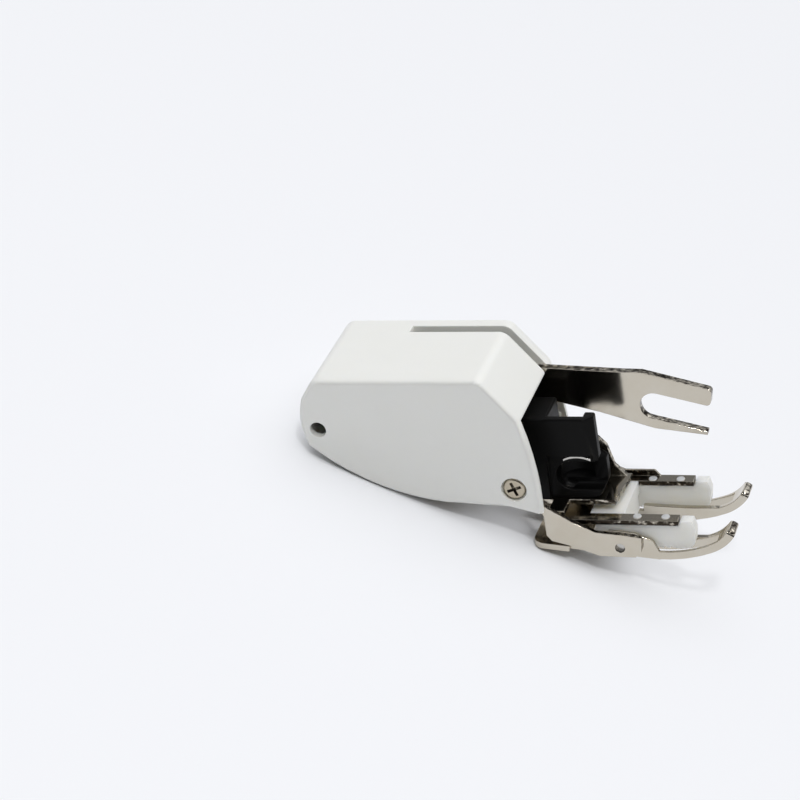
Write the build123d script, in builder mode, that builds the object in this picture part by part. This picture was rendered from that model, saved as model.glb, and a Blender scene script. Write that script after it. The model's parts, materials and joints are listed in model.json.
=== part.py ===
"""Even-feed presser foot for a low-shank sewing machine.

Frame: origin on the presser bar's axis at the clamp screw's height, +X towards the toes,
+Y to the operator's right, +Z up along the presser bar. Lengths are millimetres.
Profiles are drawn as (forward, height), with height counted from the underside of a level sole.
"""

import os
from math import cos, radians, sin

from build123d import *

# Shank and presser bar
shank_height = 12.7
bar_radius = 3.0
bar_clearance = 0.05
notch_radius = 2.75
notch_relief = 0.4
shank_wall = 1.55
shank_back = -9.0
shank_front = 5.3
shank_far = 3.6
shank_top = 24.05
shank_shoulder = 14.2
shank_seat = 8.5
shank_floor = 1.7
shank_nose_radius = 2.0
shank_chamfer = 2.0
recess_depth = 0.8
recess_back = -4.0
recess_top = 16.9
lip_thickness = 1.9
lip_reach = 1.5
lip_chamfer = 1.6
liner_forward = 1.4
liner_half = 2.4
liner_rise = 0.6
liner_thickness = 0.4
liner_setback = 0.2
liner_seat = 0.3
rivet_forward = -6.0
rivet_sides = (-2.0, 1.6)
rivet_radius = 1.0
rivet_head = 0.4

# Frame of two side plates
frame_gap = 0.5
plate_thickness = 0.95
plate_back = -38.0
plate_top = 28.0
plate_floor = 12.2
base_thickness = 0.8
base_front = -15.4
base_back = -25.0
tab_thickness = 1.0
tab_length = 5.2
arm_under = ((-11.8, 1.15), (-7.9, 0.05), (-3.7, -1.65), (2.5, -1.8), (3.6, -0.75))
arm_over = ((3.9, 2.05), (0.3, 2.6), (-4.0, 2.95), (-8.1, 5.1), (-12.8, 8.25))
cheek_back = -4.2
cheek_under = 4.2
cheek_rise = 3.8
cheek_slope = 2.3
plate_shoulder = (-6.5, 18.0)
plate_front = -8.5
plate_heel = (2.5, -4.5)
plate_corner = 2.0

# Shank bracket
bracket_sheet = 0.9
bracket_front_near = 7.3
bracket_front_far = 8.2
bracket_wall_edge = ((5.5, 10.7), (4.5, 14.5), (3.1, 16.1))
bracket_ear_back = -3.6
bracket_ear_front = -0.8

# Sole and its hinge
pin_forward = 8.4
pin_height = 1.95
pin_radius = 0.85
sole_drop = 6.6
sole_thickness = 1.1
heel_length = 15.35
heel_corner = 2.0
flat_length = 5.0
toe_thickness = 1.45
toe_rise_radius = 22.9
toe_rise_sweep = 27.3
toe_curl_radius = 8.8
toe_curl_sweep = 39.0
toe_corner = 1.0
rib_over = ((1.0, 0.3), (9.2, 0.9), (14.4, 1.6))
rib_under = ((13.0, 0.3), (5.0, -1.2), (1.0, -1.2))
ear_under = (-3.7, 6.7)
ear_over = (-2.2, 2.2)
ear_top = 2.6
ear_back_top = 1.0
ear_front = ((5.5, 1.5), (6.6, -0.5))
inner_rail = 0.95
ear_thickness = 0.6
ear_play = 0.05
arm_room_back = 8.8
foot_slot_back = 8.3
foot_slot_front = 16.3
needle_gap_back = 6.0
pin_recess = 0.35

# Feed feet and carrier
foot_width = 2.1
foot_clearance = 0.25
foot_bottom = 1.0
foot_back = 4.2
foot_nose = 21.3
foot_nose_top = 6.3
foot_nose_face = 1.6
foot_nose_lip = 0.4
foot_nose_length = 3.6
foot_nose_radius = 1.8
tooth_pitch = 1.1
tooth_depth = 0.5
tooth_count = 12
bridge_front = 8.8
bridge_thickness = 1.3
bridge_cap_back = 2.8
web_length = 2.4
web_bottom = 1.7
web_gap = 0.2
carrier_sheet = 0.9
finger_top = 6.4
finger_front = 18.45
finger_margin = 0.1
cross_back = -2.0
strap_width = 3.4
riser_back = -10.4
stud_radius = 0.7
stud_inset = 0.75
stud_head = 0.15
stud_places = (11.2, 16.1)
flange_top = 7.55
flange_heel = 8.5
flange_sheet = 0.45
flange_run = 7.0
flange_end = 5.4
flange_brow = 2.0

# Feed slide
slide_offset = -1.5
tongue_width = 3.0
tongue_thickness = 1.4
tongue_height = 16.7
tongue_tail = 1.9
slide_clearance = 0.1
stop_radius = 0.7
feed_gap = 5.0

# Lift block on its posts
block_length = 12.0
block_plate_gap = 0.9
block_lever_gap = 2.15
block_bottom = 15.4
block_top = 22.5
post_radius = 1.0
post_inset = 2.0
running_fit = 0.05
yoke_thickness = 2.0
yoke_rim = 0.9
lift_room = 2.4

# Lever
lever_pivot = (-33.5, 25.0)
lever_thickness = 1.5
lever_gap = 0.25
lever_hub = 3.5
pivot_radius = 1.5
bush_wall = 0.7
crank_radius = 3.6
crank_pin_radius = 0.6
roller_radius = 1.2
roller_play = 0.06
fork_root = (12.9, 20.43)
fork_slot = 4.94
fork_angle = 15.0
fork_reach = 14.0
prong_corner = 0.7
prong_point = 0.25
fork_over = ((-5.15, 6.57), (-1.6, 6.47), (10.3, 3.07))
fork_under = ((8.7, -5.58), (-0.3, -4.33), (-9.6, -1.23))
neck_over = (-5.55, 27.8)
neck_under = (-4.1, 21.2)
tail_under = (-12.0, 22.2)
crank_lobe = 2.4
bush_collar = 0.6
clip_thickness = 0.5
clip_rim = 1.5
clip_mouth = 2.4
sleeve_wall = 0.75
yoke_foot = 3.0
yoke_brow = 2.0

# Springs
wire = 0.35
coil_sides = 12
lift_coil_radius = 1.75
lift_turns = 2.5
feed_coil_radius = 2.15
feed_turns = 2.5
return_coil_radius = 2.3
return_turns = 3.0
return_leg = 5.0
spring_seat = 0.05

# Housing
housing_width = 22.7
housing_wall = 1.4
housing_top = 35.05
hood_front_top = -11.4
hood_brow = (-5.55, 27.5)
hood_chin = (-3.7, 9.4)
hood_cheek = (-3.95, 18.5)
hood_jaw = (-7.5, 10.5)
hood_keel = (-20.7, 11.3)
hood_belly = (-33.5, 15.1)
hood_back = -44.3
tail_low = (0.7, 22.2)
tail_middle = 25.5
tail_high = (0.9, 31.4)
tail_top = 3.4
mouth_reach = 10.0
brow_lip = 0.6
corner_radius = 2.4
edge_chamfer = 0.7
lever_slot_back = -28.6
lever_slot_play = 0.3
guide_hole = (-41.26, 25.55)
guide_hole_radius = 1.41
screw_place = (-8.1, 14.25)
screw_head_radius = 2.0
screw_recess = 1.0
screw_recess_radius = 2.2
screw_head_thickness = 0.8
screw_radius = 1.0
screw_reach = 0.5
cross_slot = 0.5
cross_length = 2.6
cross_depth = 0.56
cross_turn = 20.0
screw_boss = 3.3

frame_width = housing_width - 2 * (housing_wall + frame_gap)
plate_outer = frame_width / 2
plate_inner = plate_outer - plate_thickness
ear_outer = plate_inner - ear_play
ear_inner = ear_outer - ear_thickness
foot_outer = ear_inner - foot_clearance
foot_inner = foot_outer - foot_width
slot_inner = foot_inner - foot_clearance
needle_gap = 2 * (slot_inner - inner_rail)
lever_near = plate_inner - lever_gap - lever_thickness
block_near = block_plate_gap - plate_inner
block_far = lever_near - block_lever_gap
stud_side = foot_inner + stud_inset
finger_outer = foot_outer + finger_margin
finger_inner = foot_inner - finger_margin
finger_under = finger_top - carrier_sheet
riser_front = riser_back + carrier_sheet
block_front = riser_back - feed_gap
block_back = block_front - block_length
socket_radius = bar_radius + bar_clearance
shank_near = -(socket_radius + shank_wall)
cavity_half = housing_width / 2 - housing_wall
tab_under = plate_top - tab_thickness
post_forward = (block_front + block_back) / 2
post_sides = (block_near + post_inset, block_far - post_inset)
crank_place = (lever_pivot[0] - crank_radius, lever_pivot[1])


def side(y: float) -> Plane:
    """Plane of a side profile at y; it extrudes towards the operator's left."""
    return Plane(origin=(0, y, -shank_height), x_dir=(1, 0, 0), z_dir=(0, -1, 0))


def level(height: float) -> Plane:
    """Level plane at a height above the level sole; it extrudes upwards."""
    return Plane(origin=(0, 0, height - shank_height))


def facing(forward: float) -> Plane:
    """Upright plane across the foot; it extrudes forwards."""
    return Plane(origin=(forward, 0, -shank_height), x_dir=(0, 1, 0), z_dir=(1, 0, 0))


def sole_side(y: float) -> Plane:
    """Side plane through the sole pin, tipped with the sole."""
    tip = radians(sole_drop)
    origin = (pin_forward, y, pin_height - shank_height)
    return Plane(origin=origin, x_dir=(cos(tip), 0, -sin(tip)), z_dir=(0, -1, 0))


def sole_level(height: float) -> Plane:
    """Plane along the tipped sole, at a height above the sole pin."""
    tip = radians(sole_drop)
    up = (sin(tip), 0, cos(tip))
    origin = (pin_forward + height * up[0], 0, pin_height - shank_height + height * up[2])
    return Plane(origin=origin, x_dir=(cos(tip), 0, -sin(tip)), z_dir=up)


def coil_path(radius: float, height: float, turns: float) -> list[tuple[float, float, float]]:
    """Corners of a coil's centre line, which climbs round the upright axis as a polygon."""
    corners = round(turns * coil_sides)
    points = []
    for corner in range(corners + 1):
        angle = radians(360 / coil_sides * corner)
        points.append((radius * cos(angle), radius * sin(angle), height * corner / corners))
    return points


def spring_profile(radius: float) -> Plane:
    """Plane of a coil's wire at the start of its path."""
    return Plane(origin=(radius, 0, 0), x_dir=(1, 0, 0), z_dir=(0, 1, 0))


# Housing: one moulded hood, open in front and below
with BuildSketch() as hood_outline:
    with BuildLine():
        tail_foot = (hood_back + tail_low[0], tail_low[1])
        tail_brow = (hood_back + tail_high[0], tail_high[1])
        Polyline(hood_chin, hood_jaw, hood_keel)
        ThreePointArc(hood_keel, hood_belly, tail_foot)
        ThreePointArc(tail_foot, (hood_back, tail_middle), tail_brow)
        Polyline(
            tail_brow,
            (hood_back + tail_top, housing_top),
            (hood_front_top, housing_top),
            hood_brow,
        )
        ThreePointArc(hood_brow, hood_cheek, hood_chin)
    make_face()
    fillet(hood_outline.vertices().sort_by(Axis.Y)[-2:], radius=corner_radius)

with BuildPart() as housing:
    with BuildSketch(side(housing_width / 2)):
        add(hood_outline.sketch)
    extrude(amount=housing_width)
    for end in (0, -1):
        rim = housing.faces().sort_by(Axis.Y)[end].edges()
        chamfer(rim.sort_by(Axis.Z)[1:], length=edge_chamfer)
    with BuildSketch(side(cavity_half)):
        add(hood_outline.sketch)
        offset(amount=-housing_wall, kind=Kind.INTERSECTION, mode=Mode.REPLACE)
        with BuildLine():
            Polyline(
                (hood_brow[0] - 4 * housing_wall, hood_brow[1] - brow_lip),
                (hood_brow[0] + mouth_reach, hood_brow[1] - brow_lip),
                (hood_brow[0] + mouth_reach, 0),
                (hood_belly[0], 0),
                (hood_belly[0], lever_pivot[1]),
                close=True,
            )
        make_face()
    extrude(amount=2 * cavity_half, mode=Mode.SUBTRACT)
    with BuildSketch(level(hood_brow[1] - 2 * brow_lip)):
        with Locations((lever_slot_back, lever_near - lever_slot_play)):
            Rectangle(
                abs(lever_slot_back),
                lever_thickness + 2 * lever_slot_play,
                align=(Align.MIN, Align.MIN),
            )
    extrude(amount=housing_top, mode=Mode.SUBTRACT)
    for turn in (1, -1):
        with BuildSketch(side(turn * cavity_half)):
            with Locations(screw_place):
                Rectangle(2 * screw_boss, 2 * screw_boss)
        extrude(amount=turn * (cavity_half - plate_outer))
        with BuildSketch(side(turn * housing_width / 2)):
            with Locations(screw_place):
                Circle(screw_recess_radius)
        extrude(amount=turn * screw_recess, mode=Mode.SUBTRACT)
    with BuildSketch(side(housing_width / 2)):
        with Locations(screw_place):
            Circle(screw_radius)
        with Locations(guide_hole):
            Circle(guide_hole_radius)
    extrude(amount=housing_width, mode=Mode.SUBTRACT)
housing.part.label = "housing"

# Frame: side plates with forward arms, joined by a base and a tab for the posts
with BuildSketch() as plate_outline:
    with BuildLine():
        Polyline(
            *[(pin_forward + ahead, pin_height + above) for ahead, above in arm_under + arm_over],
            plate_shoulder,
            (plate_front, plate_top),
            (plate_back + plate_corner, plate_top),
            (plate_back, lever_pivot[1]),
            (plate_back + plate_heel[0], lever_pivot[1] + plate_heel[1]),
            (base_back, plate_floor),
            (cheek_back - cheek_slope, plate_floor),
            (cheek_back, cheek_under + cheek_rise),
            (cheek_back, cheek_under),
            close=True,
        )
    make_face()
    with Locations((pin_forward, pin_height)):
        Circle(pin_radius, mode=Mode.SUBTRACT)
    with Locations(lever_pivot):
        Circle(pivot_radius, mode=Mode.SUBTRACT)
    with Locations(screw_place):
        Circle(screw_radius, mode=Mode.SUBTRACT)

with BuildPart() as frame:
    for plane in (side(plate_outer), side(-plate_inner)):
        with BuildSketch(plane):
            add(plate_outline.sketch)
        extrude(amount=plate_thickness)
    with BuildSketch(level(plate_floor)):
        with Locations((base_back, 0)):
            Rectangle(base_front - base_back, 2 * plate_inner, align=(Align.MIN, Align.CENTER))
    extrude(amount=base_thickness)
    with BuildSketch(level(tab_under)):
        with Locations((post_forward, -plate_inner)):
            Rectangle(tab_length, plate_inner + block_far, align=(Align.CENTER, Align.MIN))
    extrude(amount=tab_thickness)
    with BuildSketch(level(tab_under)):
        for post_side in post_sides:
            with Locations((post_forward, post_side)):
                Circle(post_radius)
    extrude(amount=tab_thickness, mode=Mode.SUBTRACT)
frame.part.label = "frame"

# Guide posts of the lift block, from the base up through the tab
post_foot = plate_floor + base_thickness
with BuildPart() as guide_posts:
    with BuildSketch(level(post_foot)):
        for post_side in post_sides:
            with Locations((post_forward, post_side)):
                Circle(post_radius)
    extrude(amount=plate_top - post_foot)
guide_posts.part.label = "guide_posts"

# Sole pins, one in each arm, their ends a little below the arm's face
with BuildPart() as sole_pins:
    for plane in (side(plate_outer - pin_recess), side(-ear_inner)):
        with BuildSketch(plane):
            with Locations((pin_forward, pin_height)):
                Circle(pin_radius)
        extrude(amount=plate_outer - pin_recess - ear_inner)
sole_pins.part.label = "sole_pins"

# Shank bracket: seat, far wall and ears to the arms
bracket_under = shank_seat - bracket_sheet
bracket_far = shank_far + bracket_sheet
with BuildPart() as shank_bracket:
    with BuildSketch(level(bracket_under)):
        with BuildLine():
            Polyline(
                (shank_back, shank_near),
                (bracket_front_near, shank_near),
                (bracket_front_far, bracket_far),
                (shank_back, bracket_far),
                close=True,
            )
        make_face()
        with Locations((bracket_ear_back, 0)):
            Rectangle(
                bracket_ear_front - bracket_ear_back,
                2 * plate_inner,
                align=(Align.MIN, Align.CENTER),
            )
        for rivet_side in rivet_sides:
            with Locations((rivet_forward, rivet_side)):
                Circle(rivet_radius, mode=Mode.SUBTRACT)
    extrude(amount=bracket_sheet)
    with BuildSketch(side(bracket_far)):
        with BuildLine():
            Polyline(
                (shank_back, bracket_under),
                (bracket_front_far, bracket_under),
                *bracket_wall_edge,
                (shank_back, bracket_wall_edge[-1][1]),
                close=True,
            )
        make_face()
    extrude(amount=bracket_sheet)
shank_bracket.part.label = "shank_bracket"

# Shank block: socket for the presser bar, open to the right above its shoulder
lip_front = socket_radius + lip_thickness
with BuildSketch() as liner_outline:
    with BuildLine():
        liner_ends = (liner_forward - liner_half, liner_forward + liner_half)
        liner_low = recess_top - liner_rise
        ThreePointArc(
            (liner_ends[0], liner_low),
            (liner_forward, recess_top),
            (liner_ends[1], liner_low),
        )
        Line((liner_ends[1], liner_low), (liner_ends[1], liner_low - liner_thickness))
        ThreePointArc(
            (liner_ends[1], liner_low - liner_thickness),
            (liner_forward, recess_top - liner_thickness),
            (liner_ends[0], liner_low - liner_thickness),
        )
        Line((liner_ends[0], liner_low - liner_thickness), (liner_ends[0], liner_low))
    make_face()

with BuildPart() as shank_block:
    with BuildSketch(level(shank_seat)):
        with BuildLine():
            Polyline(
                (shank_back, shank_near),
                (shank_front, shank_near),
                (shank_front, shank_far - shank_chamfer),
                (shank_front - shank_chamfer, shank_far),
                (shank_back, shank_far),
                close=True,
            )
        make_face()
    extrude(amount=shank_shoulder - shank_seat)
    nose = shank_block.edges().filter_by(Axis.Y).group_by(Axis.X)[-1].sort_by(Axis.Z)[0]
    fillet(nose, radius=shank_nose_radius)
    with BuildSketch(level(shank_shoulder)):
        with BuildLine():
            Polyline(
                (shank_back, shank_near),
                (lip_front - lip_chamfer, shank_near),
                (lip_front, shank_near + lip_chamfer),
                (lip_front, shank_near + shank_wall + lip_reach),
                (socket_radius, shank_near + shank_wall + lip_reach),
                (socket_radius, shank_near + shank_wall),
                (-socket_radius, shank_near + shank_wall),
                (-socket_radius, shank_far),
                (shank_back, shank_far),
                close=True,
            )
        make_face()
    extrude(amount=shank_top - shank_shoulder)
    with BuildSketch(level(shank_seat + shank_floor)):
        Circle(socket_radius)
    extrude(amount=shank_top, mode=Mode.SUBTRACT)
    with BuildSketch(side(shank_near + recess_depth)):
        with Locations((recess_back, recess_top)):
            Rectangle(2 * shank_front - recess_back, recess_top, align=(Align.MIN, Align.MAX))
    extrude(amount=recess_depth, mode=Mode.SUBTRACT)
    for inner, radius in ((0, notch_radius + notch_relief), (-socket_radius, notch_radius)):
        with BuildSketch(side(inner)):
            with Locations((0, shank_height)):
                Circle(radius)
                Rectangle(2 * shank_front, 2 * radius, align=(Align.MIN, Align.CENTER))
        extrude(amount=socket_radius, mode=Mode.SUBTRACT)
    with BuildSketch(side(shank_near + recess_depth + liner_seat)):
        add(liner_outline.sketch)
    extrude(amount=liner_seat, mode=Mode.SUBTRACT)
    with BuildSketch(level(shank_seat)):
        for rivet_side in rivet_sides:
            with Locations((rivet_forward, rivet_side)):
                Circle(rivet_radius)
    extrude(amount=shank_height - shank_seat, mode=Mode.SUBTRACT)
shank_block.part.label = "shank_block"

# Notch liner: a steel strip arched over the clamp screw's notch
with BuildPart() as notch_liner:
    with BuildSketch(side(shank_near + recess_depth + liner_seat)):
        add(liner_outline.sketch)
    extrude(amount=recess_depth + liner_seat - liner_setback)
notch_liner.part.label = "notch_liner"

# Shank rivets, from under the bracket into the block
with BuildPart() as shank_rivets:
    with BuildSketch(level(bracket_under - rivet_head)):
        for rivet_side in rivet_sides:
            with Locations((rivet_forward, rivet_side)):
                Circle(rivet_radius)
    extrude(amount=shank_height - bracket_under + rivet_head)
shank_rivets.part.label = "shank_rivets"

# Sole: heel, hinge ears and two slotted toes with a rib along each inner rail
with BuildSketch() as sole_profile:
    with BuildLine():
        toe_foot = (flat_length, -pin_height)
        toe_shin = (flat_length, toe_thickness - pin_height)
        under = JernArc(toe_foot, (1, 0), toe_rise_radius, toe_rise_sweep)
        under_curl = JernArc(under @ 1, under % 1, toe_curl_radius, toe_curl_sweep)
        over = JernArc(toe_shin, (1, 0), toe_rise_radius - toe_thickness, toe_rise_sweep)
        over_curl = JernArc(over @ 1, over % 1, toe_curl_radius - toe_thickness, toe_curl_sweep)
        Line(under_curl @ 1, over_curl @ 1)
        Polyline(
            toe_shin,
            (flat_length - toe_thickness, sole_thickness - pin_height),
            (-heel_length, sole_thickness - pin_height),
            (-heel_length, -pin_height),
            toe_foot,
        )
    make_face()

with BuildPart() as sole:
    with BuildSketch(sole_side(plate_outer)):
        add(sole_profile.sketch)
    extrude(amount=frame_width)
    fillet(sole.edges().filter_by(Axis.Y, reverse=True).group_by(Axis.X)[0], radius=heel_corner)
    with BuildSketch(sole_level(-pin_height)):
        with Locations((-needle_gap_back, 0)):
            Rectangle(
                needle_gap_back + toe_rise_radius,
                needle_gap,
                align=(Align.MIN, Align.CENTER),
            )
        for turn in (1, -1):
            with Locations((-foot_slot_back, turn * (slot_inner + ear_inner) / 2)):
                Rectangle(
                    foot_slot_back + foot_slot_front,
                    ear_inner - slot_inner,
                    align=(Align.MIN, Align.CENTER),
                )
            with Locations((-arm_room_back, turn * (ear_outer + plate_thickness))):
                Rectangle(
                    arm_room_back + toe_rise_radius,
                    2 * plate_thickness,
                    align=(Align.MIN, Align.CENTER),
                )
    extrude(amount=toe_rise_radius, mode=Mode.SUBTRACT)
    for toe_tip in sole.faces().sort_by(Axis.X)[-2:]:
        fillet(toe_tip.edges().filter_by(Axis.Y, reverse=True), radius=toe_corner)
    for plane in (sole_side(ear_outer), sole_side(-ear_inner)):
        with BuildSketch(plane):
            with BuildLine():
                Polyline(
                    (ear_under[0], -pin_height),
                    (ear_under[1], -pin_height),
                    ear_front[1],
                    ear_front[0],
                    (ear_over[1], ear_top),
                    (ear_over[0], ear_top),
                    (ear_under[0], ear_back_top),
                    close=True,
                )
            make_face()
            Circle(pin_radius + running_fit, mode=Mode.SUBTRACT)
        extrude(amount=ear_thickness)
    for plane in (sole_side(slot_inner), sole_side(-needle_gap / 2)):
        with BuildSketch(plane):
            with BuildLine():
                Polyline(*rib_over, *rib_under, close=True)
            make_face()
        extrude(amount=inner_rail)
sole.part.label = "sole"

# Feed carrier: fingers, cross plate, strap under the shank, riser and tongue
with BuildPart() as feed_carrier:
    with BuildSketch(level(finger_under)):
        with Locations((cross_back, 0)):
            Rectangle(bridge_cap_back - cross_back, 2 * finger_outer, align=(Align.MIN, Align.CENTER))
        with Locations((riser_back, slide_offset)):
            Rectangle(bridge_cap_back - riser_back, strap_width, align=(Align.MIN, Align.CENTER))
        for turn in (1, -1):
            with Locations((cross_back, turn * (finger_inner + finger_outer) / 2)):
                Rectangle(
                    finger_front - cross_back,
                    finger_outer - finger_inner,
                    align=(Align.MIN, Align.CENTER),
                )
            for stud_place in stud_places:
                with Locations((stud_place, turn * stud_side)):
                    Circle(stud_radius, mode=Mode.SUBTRACT)
    extrude(amount=carrier_sheet)
    with BuildSketch(side(finger_outer)):
        with BuildLine():
            Polyline(
                (foot_back, finger_under),
                (foot_back, flange_heel),
                (foot_back + flange_brow, flange_top),
                (finger_front - flange_run, flange_top),
                (finger_front - flange_end, finger_under),
                close=True,
            )
        make_face()
    extrude(amount=flange_sheet)
    with BuildSketch(level(finger_under)):
        with Locations((riser_back, slide_offset)):
            Rectangle(carrier_sheet, tongue_width, align=(Align.MIN, Align.CENTER))
    extrude(amount=tongue_height + tongue_thickness - finger_under)
    with BuildSketch(level(tongue_height)):
        with Locations((riser_front, slide_offset)):
            Rectangle(
                riser_front - block_back + tongue_tail,
                tongue_width,
                align=(Align.MAX, Align.CENTER),
            )
        with Locations((block_back - stop_radius, slide_offset)):
            Circle(stop_radius, mode=Mode.SUBTRACT)
    extrude(amount=tongue_thickness)
feed_carrier.part.label = "feed_carrier"

# Stop pin: holds the tongue in the lift block
with BuildPart() as stop_pin:
    with BuildSketch(level(tongue_height - tongue_thickness / 2)):
        with Locations((block_back - stop_radius, slide_offset)):
            Circle(stop_radius)
    extrude(amount=2 * tongue_thickness)
stop_pin.part.label = "stop_pin"

# Feed feet: one moulding, toothed below and staked through the fingers
tooth_start = foot_nose - foot_nose_length - tooth_count * tooth_pitch
tooth_points = []
for tooth in range(tooth_count):
    tooth_back = tooth_start + tooth * tooth_pitch
    tooth_points.append((tooth_back, foot_bottom + tooth_depth))
    tooth_points.append((tooth_back + tooth_pitch, foot_bottom))

with BuildPart() as feed_feet:
    for plane in (side(foot_outer), side(-foot_inner)):
        with BuildSketch(plane) as foot_side:
            with BuildLine():
                Polyline(
                    (foot_nose, foot_nose_top - foot_nose_face),
                    (foot_nose - foot_nose_lip, foot_nose_top),
                    (finger_front + foot_nose_lip, foot_nose_top),
                    (finger_front + finger_margin, finger_under),
                    (foot_back, finger_under),
                    (foot_back, foot_bottom + tooth_depth),
                    *tooth_points,
                    (foot_nose - foot_nose_lip, foot_bottom),
                    close=True,
                )
            make_face()
            nose_foot = foot_side.vertices().group_by(Axis.X)[-2].sort_by(Axis.Y)[0]
            fillet(nose_foot, radius=foot_nose_radius)
        extrude(amount=foot_outer - foot_inner)
    with BuildSketch(level(finger_under - bridge_thickness)):
        with Locations((foot_back, 0)):
            Rectangle(bridge_front - foot_back, 2 * foot_outer, align=(Align.MIN, Align.CENTER))
    extrude(amount=bridge_thickness)
    with BuildSketch(level(finger_under)):
        with Locations((bridge_cap_back, 0)):
            Rectangle(
                bridge_front - bridge_cap_back,
                2 * finger_inner,
                align=(Align.MIN, Align.CENTER),
            )
    extrude(amount=carrier_sheet)
    with BuildSketch(level(web_bottom)):
        with Locations((bridge_front, 0)):
            Rectangle(web_length, needle_gap - 2 * web_gap, align=(Align.MAX, Align.CENTER))
    extrude(amount=finger_under - web_bottom)
    for turn in (1, -1):
        with BuildSketch(level(finger_under)):
            for stud_place in stud_places:
                with Locations((stud_place, turn * stud_side)):
                    Circle(stud_radius)
        extrude(amount=carrier_sheet + stud_head)
feed_feet.part.label = "feed_feet"

# Lift block with the yoke that the lever's crank works in
yoke_half = roller_radius + roller_play
yoke_top = lever_pivot[1] + lift_room + pivot_radius + yoke_rim
yoke_window = 2 * (pivot_radius + 3 * slide_clearance)
with BuildPart() as lift_block:
    with BuildSketch(level(block_bottom)):
        with Locations((block_back, block_near)):
            Rectangle(block_length, block_far - block_near, align=(Align.MIN, Align.MIN))
        for post_side in post_sides:
            with Locations((post_forward, post_side)):
                Circle(post_radius + running_fit, mode=Mode.SUBTRACT)
    extrude(amount=block_top - block_bottom)
    with BuildSketch(facing(block_back)):
        with Locations((slide_offset, tongue_height + tongue_thickness / 2)):
            Rectangle(tongue_width + 2 * slide_clearance, tongue_thickness + 2 * slide_clearance)
    extrude(amount=block_length, mode=Mode.SUBTRACT)
    with BuildSketch(side(block_far)):
        with BuildLine():
            Polyline(
                (block_back, block_bottom + yoke_foot),
                (block_back, block_top),
                (lever_pivot[0] + pivot_radius + yoke_brow, yoke_top),
                (lever_pivot[0] - pivot_radius, yoke_top),
                (crank_place[0] - yoke_half - yoke_rim, crank_place[1] + yoke_half + yoke_rim),
                (crank_place[0] - yoke_half - yoke_rim, crank_place[1] - yoke_half - yoke_rim),
                (lever_pivot[0], crank_place[1] - yoke_half - 2 * yoke_rim),
                close=True,
            )
        make_face()
        with Locations((lever_pivot[0], lever_pivot[1] + lift_room / 2)):
            SlotCenterToCenter(lift_room, yoke_window, rotation=90, mode=Mode.SUBTRACT)
        with Locations((crank_place[0] + roller_play, crank_place[1])):
            SlotCenterToCenter(2 * yoke_rim, 2 * yoke_half, mode=Mode.SUBTRACT)
    extrude(amount=yoke_thickness)
lift_block.part.label = "lift_block"

# Lever: stamped plate with a fork for the needle clamp
with BuildSketch() as lever_outline:
    with BuildLine():
        Polyline(
            (lever_pivot[0], lever_pivot[1] + lever_hub),
            neck_over,
            *[(fork_root[0] + ahead, fork_root[1] + above) for ahead, above in fork_over + fork_under],
            neck_under,
            tail_under,
            (lever_pivot[0], lever_pivot[1] - lever_hub),
            close=True,
        )
    make_face()
    with Locations(lever_pivot):
        Circle(lever_hub)
    with Locations(crank_place):
        Circle(crank_lobe)
        Circle(crank_pin_radius, mode=Mode.SUBTRACT)
    with Locations(lever_pivot):
        Circle(pivot_radius + running_fit + bush_wall, mode=Mode.SUBTRACT)
    with Locations(fork_root):
        Circle(fork_slot / 2, mode=Mode.SUBTRACT)
    with Locations(Location((fork_root[0], fork_root[1], 0), (0, 0, -fork_angle))):
        Rectangle(fork_reach, fork_slot, align=(Align.MIN, Align.CENTER), mode=Mode.SUBTRACT)
    prong_ends = lever_outline.vertices().sort_by(Axis.X)[-4:].sort_by(Axis.Y)
    fillet(prong_ends[2:], radius=prong_corner)
    fillet(prong_ends[:2], radius=prong_point)

with BuildPart() as fork_lever:
    with BuildSketch(side(lever_near + lever_thickness)):
        add(lever_outline.sketch)
    extrude(amount=lever_thickness)
fork_lever.part.label = "fork_lever"

# Lever bush, a collar pressed into the plate
with BuildPart() as lever_bush:
    with BuildSketch(side(lever_near + lever_thickness)):
        with Locations(lever_pivot):
            Circle(pivot_radius + running_fit + bush_wall)
            Circle(pivot_radius + running_fit, mode=Mode.SUBTRACT)
    extrude(amount=lever_thickness + bush_collar)
lever_bush.part.label = "lever_bush"

# Crank pin and its roller
crank_end = block_far - yoke_thickness
with BuildPart() as crank_pin:
    with BuildSketch(side(lever_near + lever_thickness)):
        with Locations(crank_place):
            Circle(crank_pin_radius)
    extrude(amount=lever_near + lever_thickness - crank_end)
crank_pin.part.label = "crank_pin"

with BuildPart() as crank_roller:
    with BuildSketch(side(block_far)):
        with Locations(crank_place):
            Circle(roller_radius)
            Circle(crank_pin_radius, mode=Mode.SUBTRACT)
    extrude(amount=yoke_thickness)
crank_roller.part.label = "crank_roller"

# Lever pivot pin, with a clip and a sleeve
with BuildPart() as pivot_pin:
    with BuildSketch(side(plate_outer)):
        with Locations(lever_pivot):
            Circle(pivot_radius)
    extrude(amount=frame_width)
pivot_pin.part.label = "pivot_pin"

clip_face = lever_near - bush_collar - running_fit
with BuildPart() as pivot_clip:
    with BuildSketch(side(clip_face)):
        with Locations(lever_pivot):
            Circle(pivot_radius + clip_rim)
            Circle(pivot_radius, mode=Mode.SUBTRACT)
            Rectangle(
                clip_mouth,
                pivot_radius + clip_rim,
                align=(Align.CENTER, Align.MAX),
                mode=Mode.SUBTRACT,
            )
    extrude(amount=clip_thickness)
pivot_clip.part.label = "pivot_clip"

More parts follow.
